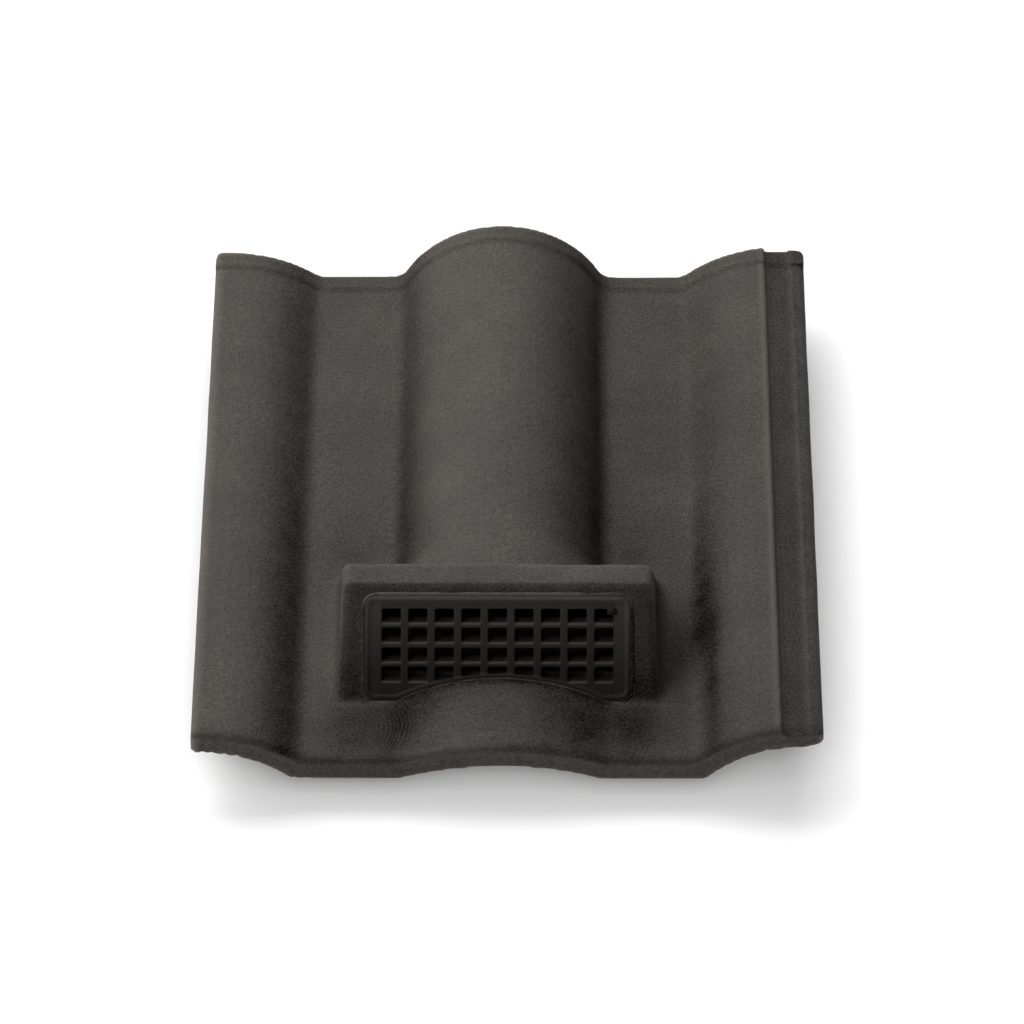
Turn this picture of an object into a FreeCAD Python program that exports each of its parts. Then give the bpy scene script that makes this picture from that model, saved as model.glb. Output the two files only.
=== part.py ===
import FreeCAD
import Part
import Sketcher
import math
import os
import re

# Interlocking concrete roof tile with a cast vent hood and a moulded grille.
# The tile lies flat: X across the tile, Y from the tail (eaves) edge to the head edge, Z up.
# The finished part has its origin under the middle of the tile, at the level of the nibs' feet.

# Driving sizes, in millimetres and degrees
sizes = {
    # plan and sheet
    "tile_length": 420.0,
    "tile_width": 330.0,
    "sheet_thickness": 13.5,
    "valley_radius": 10.0,
    "under_valley_radius": 3.0,
    # centre roll, tall behind the hood and low in front of it
    "roll_centre": 161.2,
    "roll_radius": 61.0,
    "roll_rise": 35.7,
    "tail_rise": 8.5,
    # half rolls at the two sides
    "side_roll_radius": 80.0,
    "left_rise": 16.4,
    "left_flat": 9.0,
    "right_rise": 21.5,
    "right_crest": 12.5,
    # side lap that the next tile covers
    "lap_width": 21.7,
    "lap_rise": 17.9,
    "lap_rib_width": 9.0,
    "lap_rib_height": 0.6,
    "lap_lift": 3.0,
    "step_bevel": 1.5,
    # raised bar along the head
    "bar_width": 12.5,
    "bar_height": 0.9,
    "bar_ramp": 2.5,
    "bar_bevel": 0.6,
    "ramp_share": 0.9,
    # worn edges of the sheet
    "tail_round": 4.0,
    "side_round": 4.0,
    # hanging nibs under the head
    "nib_drop": 14.0,
    "nib_width": 40.0,
    "nib_length": 18.0,
    "nib_setback": 4.0,
    "nib_bevel": 3.0,
    # vent hood
    "apron_length": 47.5,
    "hood_rise": 45.0,
    "hood_lean": 45.0,
    "hood_top_depth": 15.0,
    "hood_back_slope": 45.0,
    "hood_top_width": 164.0,
    "hood_shift": 1.3,
    "hood_side_draft": 4.0,
    "hood_wall": 9.5,
    "hood_root": 2.0,
    "hood_corner_round": 5.0,
    "hood_edge_round": 4.5,
    "hood_foot_round": 7.0,
    # air passage under the hood
    "sill_rise": 8.0,
    "upstand_rise": 12.0,
    "upstand_thickness": 5.0,
    "throat_start": 92.0,
    "throat_width": 90.0,
    "junction": 110.0,
    # seat of the grille in the hood's face
    "rebate_depth": 5.0,
    "seat_ledge": 3.0,
    "grille_clearance": 0.15,
    # moulded grille, measured up the leaning face
    "grille_width": 140.0,
    "grille_foot": 1.0,
    "grille_height": 55.0,
    "grille_corner": 6.0,
    "arch_half_width": 54.0,
    "arch_lip": 0.6,
    "rim_width": 2.4,
    "rim_proud": 0.5,
    "rim_bevel": 0.3,
    "plate_thickness": 4.8,
    "hole_width": 10.0,
    "hole_height": 5.6,
    "hole_columns": 9,
    "hole_rows": 4,
    "column_pitch": 14.0,
    "row_pitch": 7.3,
    "first_row": 7.2,
}

# Formulas shared by several features
pan_top = "(nib_drop + sheet_thickness)"
tail_radius = "((2 * roll_radius * roll_rise - roll_rise ^ 2 + tail_rise ^ 2) / (2 * tail_rise))"
hood_top_front = "(apron_length + hood_rise * tan(hood_lean))"
hood_top_back = f"({hood_top_front} + hood_top_depth)"
hood_toe = f"({hood_top_back} + hood_rise / tan(hood_back_slope))"
arch_crest = "(tail_rise / cos(hood_lean) + arch_lip)"

doc = FreeCAD.newDocument("RoofTileVent")
sheet = doc.addObject("Spreadsheet::Sheet", "Sizes")
for row, (name, value) in enumerate(sizes.items(), 1):
    sheet.set(f"A{row}", name)
    sheet.set(f"B{row}", str(value))
    sheet.setAlias(f"B{row}", name)
doc.recompute()


def formula(text):
    """Turns the size names in a formula into references to the sheet."""
    return re.sub(r"[a-z_]+", lambda word: "Sizes." + word[0] if word[0] in sizes else word[0], text)


def number(text):
    """The present value of a formula."""
    return float(sheet.evalExpression(formula(text)))


def bind(thing, path, text):
    """Ties a property of a document object to a formula."""
    thing.setExpression(path, formula(text))


def new_body(label):
    body = doc.addObject("PartDesign::Body", label)
    body.Label = label
    return body


def new_sketch(body, name, role, offset=("0", "0", "0"), tilt=None):
    """A sketch on one of the body's own planes, moved by an offset and tilted about its first axis."""
    sketch = body.newObject("Sketcher::SketchObject", name)
    plane = [feature for feature in body.Origin.OriginFeatures if feature.Role == role]
    sketch.AttachmentSupport = [(plane[0], "")]
    sketch.MapMode = "FlatFace"
    if tilt:
        turn = FreeCAD.Rotation(FreeCAD.Vector(1, 0, 0), number(tilt))
        sketch.AttachmentOffset = FreeCAD.Placement(FreeCAD.Vector(), turn)
        bind(sketch, "AttachmentOffset.Rotation.Angle", tilt)
    for axis, distance in zip("xyz", offset):
        bind(sketch, f"AttachmentOffset.Base.{axis}", distance)
    return sketch


def arc_between(start, end, radius, turn):
    """The short arc from start to end, turning left (1) or right (-1)."""
    chord = end - start
    height = math.sqrt(radius ** 2 - (chord.Length / 2) ** 2)
    side = FreeCAD.Vector(-chord.y, chord.x, 0).normalize() * turn
    centre = (start + end) / 2 + side * height
    circle = Part.Circle(centre, FreeCAD.Vector(0, 0, 1), radius)
    first = start - centre
    last = end - centre
    angles = [math.atan2(first.y, first.x), math.atan2(last.y, last.x)]
    return Part.ArcOfCircle(circle, *angles[::turn])


def draw(sketch, corners):
    """A closed outline. A corner is (x, y) and starts a line, or (x, y, radius, turn) and starts an arc."""
    points = [FreeCAD.Vector(number(corner[0]), number(corner[1]), 0) for corner in corners]
    first = sketch.GeometryCount
    starts = []
    for index, corner in enumerate(corners):
        start = points[index]
        end = points[(index + 1) % len(points)]
        if len(corner) == 2:
            sketch.addGeometry(Part.LineSegment(start, end))
            starts.append(1)
        else:
            sketch.addGeometry(arc_between(start, end, number(corner[2]), corner[3]))
            starts.append(1 if corner[3] == 1 else 2)
    for index, corner in enumerate(corners):
        before = index - 1 if index else len(corners) - 1
        here = (first + index, starts[index])
        there = (first + before, 3 - starts[before])
        sketch.addConstraint(Sketcher.Constraint("Coincident", *there, *here))
        for kind, text, value in zip(("DistanceX", "DistanceY"), corner, points[index]):
            place = sketch.addConstraint(Sketcher.Constraint(kind, -1, 1, *here, value))
            bind(sketch, f"Constraints[{place}]", text)
        if len(corner) == 4:
            place = sketch.addConstraint(Sketcher.Constraint("Radius", first + index, number(corner[2])))
            bind(sketch, f"Constraints[{place}]", corner[2])


def rectangle(left, right, low, high):
    return [(left, low), (right, low), (right, high), (left, high)]


def add(body, kind, name, profile, **formulas):
    """A feature made from a sketch, with its lengths tied to formulas."""
    feature = body.newObject(f"PartDesign::{kind}", name)
    feature.Profile = profile
    for path, text in formulas.items():
        bind(feature, path, text)
    return feature


def edges_where(feature, test):
    return [f"Edge{index}" for index, edge in enumerate(feature.Shape.Edges, 1) if test(edge)]


def near(value, target):
    return abs(value - target) < 0.01


def dress(body, kind, name, test, **formulas):
    """A fillet or chamfer on the edges of the body's present shape that pass a test."""
    doc.recompute()
    base = body.Tip
    feature = body.newObject(f"PartDesign::{kind}", name)
    feature.Base = (base, edges_where(base, test))
    for path, text in formulas.items():
        bind(feature, path, text)
    return feature


# The concrete tile, drawn from its left tail corner
tile = new_body("tile_body")


def roll_foot(centre, side, radius, rise, valley, level):
    """Where the rounded valley beside a roll meets the roll and the pan, for a pan face at a level."""
    reach = f"sqrt(({radius} + {valley}) ^ 2 - ({radius} + {valley} - {rise}) ^ 2)"
    share = f"({radius}) / ({radius} + {valley})"
    on_roll = (
        f"{centre} {side} {reach} * {share}",
        f"{level} + {rise} - ({radius}) + ({radius} + {valley} - {rise}) * {share}",
    )
    on_pan = (f"{centre} {side} {reach}", level)
    return on_roll, on_pan


left_centre = "left_flat"
right_centre = "(tile_width - right_crest)"
lap_start = "(tile_width - lap_width)"
lap_floor = f"({pan_top} + lap_rise)"


def sheet_face(radius, rise, lift, valley):
    """The corners of one face of the sheet from the left half roll to the right one, lifted by an amount."""
    side_radius = f"(side_roll_radius + {lift})"
    centre_radius = f"({radius} + {lift})"
    level = f"({pan_top} + {lift})"
    left, left_pan = roll_foot(left_centre, "+", side_radius, "left_rise", valley, level)
    near_left, pan_left = roll_foot("roll_centre", "-", centre_radius, rise, valley, level)
    near_right, pan_right = roll_foot("roll_centre", "+", centre_radius, rise, valley, level)
    right, right_pan = roll_foot(right_centre, "-", side_radius, "right_rise", valley, level)
    return [
        ("0", f"{level} + left_rise"),
        (left_centre, f"{level} + left_rise", side_radius, -1),
        (*left, valley, 1),
        left_pan,
        (*pan_left, valley, 1),
        (*near_left, centre_radius, -1),
        (*near_right, valley, 1),
        pan_right,
        (*right_pan, valley, 1),
        (*right, side_radius, -1),
    ]


def backwards(corners):
    """The same run of corners in the other direction."""
    run = []
    for index in reversed(range(len(corners))):
        edge = corners[index - 1][2:] if index else ()
        bend = (edge[0], -edge[1]) if edge else ()
        run.append((*corners[index][:2], *bend))
    return run


def tile_section(sketch, radius, rise, lift):
    """The tile's cross section with a centre roll of the given radius and rise, its top face lifted."""
    corners = sheet_face(radius, rise, lift, f"(valley_radius - {lift})")
    # side lap with its outer rib
    side_radius = f"(side_roll_radius + {lift})"
    crest_to_step = "(lap_width - right_crest + step_bevel)"
    step_drop = f"({side_radius} - sqrt({side_radius} ^ 2 - {crest_to_step} ^ 2))"
    corners.append((f"{lap_start} - step_bevel", f"{pan_top} + {lift} + right_rise - {step_drop}"))
    corners.append((lap_start, f"{pan_top} + {lift} + right_rise - {step_drop} - step_bevel"))
    corners.append((lap_start, f"{lap_floor} + {lift}"))
    corners.append(("tile_width - lap_rib_width", f"{lap_floor} + {lift}"))
    corners.append(("tile_width - lap_rib_width + lap_rib_height", f"{lap_floor} + {lift} + lap_rib_height"))
    corners.append(("tile_width", f"{lap_floor} + {lift} + lap_rib_height"))
    # underside, right to left
    corners.append(("tile_width", "nib_drop + right_rise + lap_lift"))
    under = sheet_face(radius, rise, "(-sheet_thickness)", "under_valley_radius")
    under.append((right_centre, "nib_drop + right_rise"))
    corners += backwards(under)
    draw(sketch, corners)


# Sheet with the tall roll, from the hood to the head
back_section = new_sketch(tile, "BackSection", "XZ_Plane", ("0", "0", "-tile_length"))
tile_section(back_section, "roll_radius", "roll_rise", "0")
add(tile, "Pad", "BackSheet", back_section, Length="tile_length - junction")

# Raised bar along the head, which stops water running over the edge
bar_section = new_sketch(tile, "BarSection", "XZ_Plane", ("0", "0", "-tile_length"))
tile_section(bar_section, "roll_radius", "roll_rise", "bar_height")
add(tile, "Pad", "HeadBar", bar_section, Length="bar_width")

# Sheet with the low roll, from the tail to the hood
front_section = new_sketch(tile, "FrontSection", "XZ_Plane", ("0", "0", "-junction"))
tile_section(front_section, tail_radius, "tail_rise", "0")
add(tile, "Pad", "FrontSheet", front_section, Length="junction")

# Vent hood: a block with a leaning face, a flat top and a sloping back, rooted in the pans
hood_top = f"({pan_top} + hood_rise)"
hood_centre = "(roll_centre - hood_shift)"
hood_half_top = "(hood_top_width / 2)"
hood_half_root = f"({hood_half_top} + (hood_rise + hood_root) * tan(hood_side_draft))"
root_plan = new_sketch(tile, "HoodRoot", "XY_Plane", ("0", "0", f"{pan_top} - hood_root"))
draw(root_plan, rectangle(
    f"{hood_centre} - {hood_half_root}",
    f"{hood_centre} + {hood_half_root}",
    "apron_length - hood_root * tan(hood_lean)",
    f"{hood_toe} + hood_root / tan(hood_back_slope)",
))
top_plan = new_sketch(tile, "HoodTop", "XY_Plane", ("0", "0", hood_top))
draw(top_plan, rectangle(
    f"{hood_centre} - {hood_half_top}",
    f"{hood_centre} + {hood_half_top}",
    hood_top_front,
    hood_top_back,
))
hood = add(tile, "AdditiveLoft", "Hood", root_plan)
hood.Sections = [top_plan]
hood.Ruled = True
tile.Tip = hood


def hood_corner(edge):
    heights = sorted(vertex.Z for vertex in edge.Vertexes)
    return near(heights[-1], number(hood_top)) and heights[0] < heights[-1] - 1


def hood_top_edge(edge):
    return near(edge.BoundBox.ZMin, number(hood_top))


def hood_side_foot(edge):
    middle = edge.CenterOfMass
    half_foot = number(f"{hood_half_top} + hood_rise * tan(hood_side_draft)")
    return near(middle.z, number(pan_top)) and near(abs(middle.x - number(hood_centre)), half_foot)


dress(tile, "Fillet", "HoodCorners", hood_corner, Radius="hood_corner_round")
dress(tile, "Fillet", "HoodTopEdges", hood_top_edge, Radius="hood_edge_round")
dress(tile, "Fillet", "HoodFoot", hood_side_foot, Radius="hood_foot_round")

# Hollow of the tall roll, opened again behind the wall that closes the back of the hood
hollow_start = "(junction + hood_wall)"
hollow = sheet_face("roll_radius", "roll_rise", "(-sheet_thickness)", "under_valley_radius")
hollow_section = new_sketch(tile, "RollHollow", "XZ_Plane", ("0", "0", f"-{hollow_start}"))
draw(hollow_section, backwards(hollow[4:8]))
add(tile, "Pocket", "RollHollowCut", hollow_section, Length=f"tile_length - {hollow_start}")

# Air chamber inside the hood, with an upstand that keeps driven rain out of the throat
chamber_floor = f"({pan_top} + sill_rise)"
chamber_ceiling = f"({hood_top} - hood_wall)"
upstand_top = f"({chamber_floor} + upstand_rise)"
seat_plane = "apron_length + rebate_depth / cos(hood_lean)"
chamber = new_sketch(tile, "Chamber", "YZ_Plane", ("0", "0", hood_centre))
draw(chamber, [
    (f"{seat_plane} + sill_rise * tan(hood_lean)", chamber_floor),
    ("throat_start - upstand_thickness", chamber_floor),
    ("throat_start - upstand_thickness", upstand_top),
    ("throat_start", upstand_top),
    ("throat_start", chamber_floor),
    ("junction", chamber_floor),
    ("junction", chamber_ceiling),
    (f"{seat_plane} + (hood_rise - hood_wall) * tan(hood_lean)", chamber_ceiling),
])
chamber_cut = add(tile, "Pocket", "ChamberCut", chamber, Length="grille_width - 2 * seat_ledge")
chamber_cut.Midplane = True

# Throat, where the chamber opens to the underside in front of the tall roll
throat = new_sketch(tile, "Throat", "XY_Plane")
draw(throat, rectangle(
    "roll_centre - throat_width / 2",
    "roll_centre + throat_width / 2",
    "throat_start",
    "junction",
))
throat_cut = add(tile, "Pocket", "ThroatCut", throat, Length=f"{chamber_floor} + hood_wall / 2")
throat_cut.Reversed = True


def grille_outline(sketch, inset):
    """The grille's outline from the hood's middle, arched over the low roll and drawn in by an inset."""
    half = f"(grille_width / 2 - {inset})"
    foot = f"(grille_foot + {inset})"
    top = f"(grille_foot + grille_height - {inset})"
    corner = f"(grille_corner - {inset})"
    arch_rise = f"({arch_crest} - grille_foot)"
    arch_radius = f"((arch_half_width ^ 2 + {arch_rise} ^ 2) / (2 * {arch_rise}))"
    arch_end = f"sqrt(({arch_radius} + {inset}) ^ 2 - ({arch_radius} - {arch_rise} + {inset}) ^ 2)"
    draw(sketch, [
        (f"-({half} - {corner})", foot),
        (f"hood_shift - {arch_end}", foot, f"{arch_radius} + {inset}", -1),
        (f"hood_shift + {arch_end}", foot),
        (f"{half} - {corner}", foot, corner, 1),
        (half, f"{foot} + {corner}"),
        (half, f"{top} - {corner}", corner, 1),
        (f"{half} - {corner}", top),
        (f"-({half} - {corner})", top, corner, 1),
        (f"-{half}", f"{top} - {corner}"),
        (f"-{half}", f"{foot} + {corner}", corner, 1),
    ])


# Rebate in the leaning face that takes the grille, cut from the level of the grille's rim
rebate = new_sketch(
    tile,
    "Rebate",
    "XZ_Plane",
    (hood_centre, f"{pan_top} + rim_proud * sin(hood_lean)", "rim_proud * cos(hood_lean) - apron_length"),
    "-hood_lean",
)
grille_outline(rebate, "(-grille_clearance)")
add(tile, "Pocket", "RebateCut", rebate, Length="rim_proud + rebate_depth")

# Hanging nibs under the middle of the two pans
face = sheet_face("roll_radius", "roll_rise", "0", "valley_radius")
for name, pan in (("LeftNib", face[3:5]), ("RightNib", face[7:9])):
    middle = f"({pan[0][0]} + {pan[1][0]}) / 2"
    nib = new_sketch(tile, name, "XY_Plane")
    draw(nib, rectangle(
        f"{middle} - nib_width / 2",
        f"{middle} + nib_width / 2",
        "tile_length - nib_setback - nib_length",
        "tile_length - nib_setback",
    ))
    add(tile, "Pad", f"{name}Pad", nib, Length="nib_drop + sheet_thickness / 2")


def nib_foot(edge):
    return near(edge.BoundBox.ZMax, 0)


def starts_top(edge, end, lift):
    """True for the first edge of the top face across the tile at an end; the rest run on smoothly from it."""
    box = edge.BoundBox
    across = near(box.YMin, number(end)) and near(box.YMax, number(end))
    level = number(f"{pan_top} + left_rise + {lift}")
    return across and near(box.XMax, number(left_centre)) and near(box.ZMin, level)


def worn_side(edge):
    box = edge.BoundBox
    left = near(box.XMax, 0) and near(box.ZMin, number(f"{pan_top} + left_rise"))
    right = near(box.XMin, number("tile_width")) and near(box.ZMin, number(f"{lap_floor} + lap_rib_height"))
    return (left or right) and box.YLength > number("bar_width")


dress(tile, "Chamfer", "NibFeet", nib_foot, Size="nib_bevel")
dress(
    tile, "Chamfer", "HeadEdge", lambda edge: starts_top(edge, "tile_length", "bar_height"),
    Size="bar_bevel",
)
ramp = dress(
    tile, "Chamfer", "BarRamp", lambda edge: starts_top(edge, "tile_length - bar_width", "bar_height"),
    Size="bar_ramp", Size2="bar_height * ramp_share",
)
ramp.ChamferType = "Two distances"
dress(tile, "Fillet", "TailEdge", lambda edge: starts_top(edge, "0", "0"), Radius="tail_round")
dress(tile, "Fillet", "SideEdges", worn_side, Radius="side_round")
for axis, distance in (("x", "-tile_width / 2"), ("y", "-tile_length / 2")):
    bind(tile, f"Placement.Base.{axis}", distance)

# The moulded grille, drawn flat: X across, Y up the leaning face, Z outward from the face
grille = new_body("vent_grille")
plate = new_sketch(grille, "Plate", "XY_Plane", ("0", "0", "-rebate_depth"))
grille_outline(plate, "0")
add(grille, "Pad", "PlatePad", plate, Length="plate_thickness")

# Holes cut level, so that each one shows a sloping sill through the leaning plate
hole = new_sketch(grille, "Hole", "XY_Plane", tilt="hood_lean")
first_column = "((hole_columns - 1) / 2 * column_pitch)"
draw(hole, rectangle(
    f"-{first_column} - hole_width / 2",
    f"-{first_column} + hole_width / 2",
    "first_row",
    "first_row + hole_height",
))
hole_cut = add(grille, "Pocket", "HoleCut", hole, Length="2 * (grille_height + rebate_depth)")
hole_cut.Midplane = True
holes = grille.newObject("PartDesign::LinearPattern", "Holes")
holes.Originals = [hole_cut]
holes.Direction = (hole, ["H_Axis"])
holes.Direction2 = (hole, ["V_Axis"])
holes.Mode = "Extent"
holes.Mode2 = "Extent"
bind(holes, "Length", "(hole_columns - 1) * column_pitch")
bind(holes, "Occurrences", "hole_columns")
bind(holes, "Length2", "(hole_rows - 1) * row_pitch")
bind(holes, "Occurrences2", "hole_rows")
grille.Tip = holes

# Rim standing proud of the plate, which also closes the feet of the holes over the arch
rim = new_sketch(grille, "Rim", "XY_Plane", ("0", "0", "-rebate_depth"))
grille_outline(rim, "0")
grille_outline(rim, "rim_width")
add(grille, "Pad", "RimPad", rim, Length="rebate_depth + rim_proud")
dress(
    grille, "Chamfer", "RimEdges", lambda edge: near(edge.BoundBox.ZMin, number("rim_proud")),
    Size="rim_bevel",
)
grille.Placement.Rotation = FreeCAD.Rotation(FreeCAD.Vector(1, 0, 0), number("90 - hood_lean"))
bind(grille, "Placement.Rotation.Angle", "90 - hood_lean")
bind(grille, "Placement.Base.x", f"{hood_centre} - tile_width / 2")
bind(grille, "Placement.Base.y", "apron_length - tile_length / 2")
bind(grille, "Placement.Base.z", pan_top)

doc.recompute()
for thing in doc.Objects:
    if "Invalid" in thing.State or "Error" in thing.State:
        raise RuntimeError(f"{thing.Label} did not build: {thing.State}")
os.makedirs("parts", exist_ok=True)
for body in (tile, grille):
    if body.Shape.isNull() or not body.Shape.isValid():
        raise RuntimeError(f"{body.Label} has no valid shape")
    body.Shape.exportStep(f"parts/{body.Label}.step")
    print(body.Label, round(body.Shape.Volume), len(body.Shape.Solids), body.Shape.BoundBox)
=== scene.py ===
import bmesh
import bpy
import math
import numpy as np
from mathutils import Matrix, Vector, noise


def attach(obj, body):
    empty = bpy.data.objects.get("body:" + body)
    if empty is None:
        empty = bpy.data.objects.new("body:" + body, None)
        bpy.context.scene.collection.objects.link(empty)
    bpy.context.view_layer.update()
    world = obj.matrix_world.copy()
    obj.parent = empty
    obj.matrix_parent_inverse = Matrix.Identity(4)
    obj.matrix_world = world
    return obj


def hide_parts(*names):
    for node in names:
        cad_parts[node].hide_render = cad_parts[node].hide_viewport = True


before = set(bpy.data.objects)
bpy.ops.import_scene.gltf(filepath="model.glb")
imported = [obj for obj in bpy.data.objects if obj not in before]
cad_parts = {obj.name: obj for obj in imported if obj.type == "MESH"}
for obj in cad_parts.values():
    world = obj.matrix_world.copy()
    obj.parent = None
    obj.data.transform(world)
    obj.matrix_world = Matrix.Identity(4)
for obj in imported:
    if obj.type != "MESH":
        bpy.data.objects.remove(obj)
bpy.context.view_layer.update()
mm = 0.001
joinParts = 50  # skin points nearer than this part of a cell become one
print("frame loaded:", ", ".join(sorted(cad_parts)))


def hexToLinear(text):  # sRGB hex to the linear colour that the shaders take
    parts = [int(text[i:i + 2], 16) / 255 for i in (0, 2, 4)]
    return [c / 12.92 if c <= 0.04045 else ((c + 0.055) / 1.055) ** 2.4 for c in parts] + [1.0]


def addNode(tree, kind, settings=None, values=None, links=None):
    node = tree.nodes.new(kind)
    for name, value in (settings or {}).items():
        setattr(node, name, value)
    for socket, value in (values or {}).items():
        node.inputs[socket].default_value = value
    for socket, source in (links or {}).items():
        tree.links.new(source, node.inputs[socket])
    return node


def newMaterial(name):  # material, its node tree, its shader and the place on the piece
    material = bpy.data.materials.new(name)
    material.use_nodes = True
    tree = material.node_tree
    place = addNode(tree, "ShaderNodeTexCoord").outputs["Object"]
    return material, tree, tree.nodes["Principled BSDF"], place


def addNoise(tree, place, size, detail, roughness=0.5):  # lumps of about the size given in mm
    values = {"Scale": 1 / (size * mm), "Detail": detail, "Roughness": roughness}
    return addNode(tree, "ShaderNodeTexNoise", None, values, {"Vector": place}).outputs["Fac"]


def addRange(tree, source, low, high, toLow, toHigh):
    values = {"From Min": low, "From Max": high, "To Min": toLow, "To Max": toHigh}
    return addNode(tree, "ShaderNodeMapRange", None, values, {"Value": source}).outputs["Result"]


def addMath(tree, operation, first, second):
    return addNode(tree, "ShaderNodeMath", {"operation": operation}, None, {0: first, 1: second}).outputs[0]


def mixOver(tree, factor, under, over):  # an sRGB hex colour laid over a colour socket
    values, links = {"B": hexToLinear(over)}, {"Factor": factor, "A": under}
    return addNode(tree, "ShaderNodeMix", {"data_type": "RGBA"}, values, links).outputs[2]


def readPaint(tree, name):
    return addNode(tree, "ShaderNodeAttribute", {"attribute_name": name}).outputs["Fac"]


def addBump(tree, shader, height, strength, distance):  # distance in mm
    values = {"Strength": strength, "Distance": distance * mm}
    bump = addNode(tree, "ShaderNodeBump", None, values, {"Height": height})
    tree.links.new(bump.outputs["Normal"], shader.inputs["Normal"])


def linkNew(name, data):
    thing = bpy.data.objects.new(name, data)
    bpy.context.scene.collection.objects.link(thing)
    return thing


def bakeMesh(thing):  # mesh with the modifiers applied
    return bpy.data.meshes.new_from_object(thing.evaluated_get(bpy.context.evaluated_depsgraph_get()))


def smoothShade(mesh):
    for polygon in mesh.polygons:
        polygon.use_smooth = True


def countTriangles(polygons):
    return sum(len(p.vertices) - 2 for p in polygons)


# even skin of small quads over a solid, drawn back onto it so that flats stay flat
def skinOver(node, name, cell):
    rough = linkNew(name + "Rough", node.data.copy())
    remesh = rough.modifiers.new("skin", "REMESH")
    remesh.mode = "VOXEL"
    remesh.voxel_size = cell * mm
    remesh.use_smooth_shade = True
    wrap = rough.modifiers.new("fit", "SHRINKWRAP")
    wrap.target = node
    wrap.wrap_method = "NEAREST_SURFACEPOINT"
    mesh = bakeMesh(rough)
    mesh.name = name
    bpy.data.objects.remove(rough)
    mesh.materials.clear()
    joined = bmesh.new()  # points that fell together on a sharp corner become one
    joined.from_mesh(mesh)
    joinReach = cell * mm / joinParts
    bmesh.ops.remove_doubles(joined, verts=joined.verts, dist=joinReach)
    bmesh.ops.dissolve_degenerate(joined, edges=joined.edges, dist=joinReach)
    joined.to_mesh(mesh)
    joined.free()
    return linkNew(name, mesh)


def readPoints(mesh):  # positions in mm and unit normals
    points = np.empty(len(mesh.vertices) * 3, np.float32)
    normals = np.empty_like(points)
    mesh.vertices.foreach_get("co", points)
    mesh.vertices.foreach_get("normal", normals)
    return points.reshape(-1, 3).astype(float) / mm, normals.reshape(-1, 3).astype(float)


def writePoints(mesh, points):
    mesh.vertices.foreach_set("co", (points * mm).astype(np.float32).ravel())
    mesh.update()


def paint(mesh, name, values):  # one number per point, read by the materials
    layer = mesh.attributes.new(name, "FLOAT", "POINT")
    layer.data.foreach_set("value", np.clip(values, 0, 1).astype(np.float32))


def softNoise(points, size, seed):  # -1 to 1, with lumps of about the size given in mm
    shift = np.array([seed, -seed, 2 * seed])
    return np.array([noise.noise(Vector(place)) for place in points / size + shift])


def ramp(values, low, high):  # smooth 0 to 1
    t = np.clip((values - low) / (high - low), 0, 1)
    return t * t * (3 - 2 * t)


def fall(values, low, high):  # smooth 1 to 0
    return ramp(-values, -high, -low)


def within(values, middle, inner, outer):  # 1 nearer to the middle than inner, 0 beyond outer
    return fall(np.abs(values - middle), inner, outer)


def band(values, middle, below, above):  # 1 at the middle, fading over its own reach on each side
    away = values - middle
    return np.exp(-(away / np.where(away < 0, below, above)) ** 2)


def spot(x, y, mark):  # soft oval mark: middle x, middle y, reach x, reach y, strength
    return mark[4] * np.exp(-((x - mark[0]) / mark[2]) ** 2 - ((y - mark[1]) / mark[3]) ** 2)


def layUpon(under, over):  # darkens on without going past 1
    return 1 - (1 - under) * (1 - np.clip(over, 0, 1))


def neighbourMean(mesh, values):
    edges = np.empty(len(mesh.edges) * 2, np.int32)
    mesh.edges.foreach_get("vertices", edges)
    a, b = edges.reshape(-1, 2).T
    total = np.zeros_like(values)
    count = np.zeros(len(values))
    np.add.at(total, a, values[b])
    np.add.at(total, b, values[a])
    np.add.at(count, a, 1)
    np.add.at(count, b, 1)
    return total / count[:, None]


def bulge(mesh, points, normals, rounds):  # above 0 on outer edges, below 0 in hollows
    mean = points
    for step in range(rounds):
        mean = neighbourMean(mesh, mean)
    return ((points - mean) * normals).sum(axis=1)


def soften(mesh, points, share, rounds):  # smooths where the share is above 0
    for step in range(rounds):
        points = points + (neighbourMean(mesh, points) - points) * share[:, None]
    return points


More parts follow.
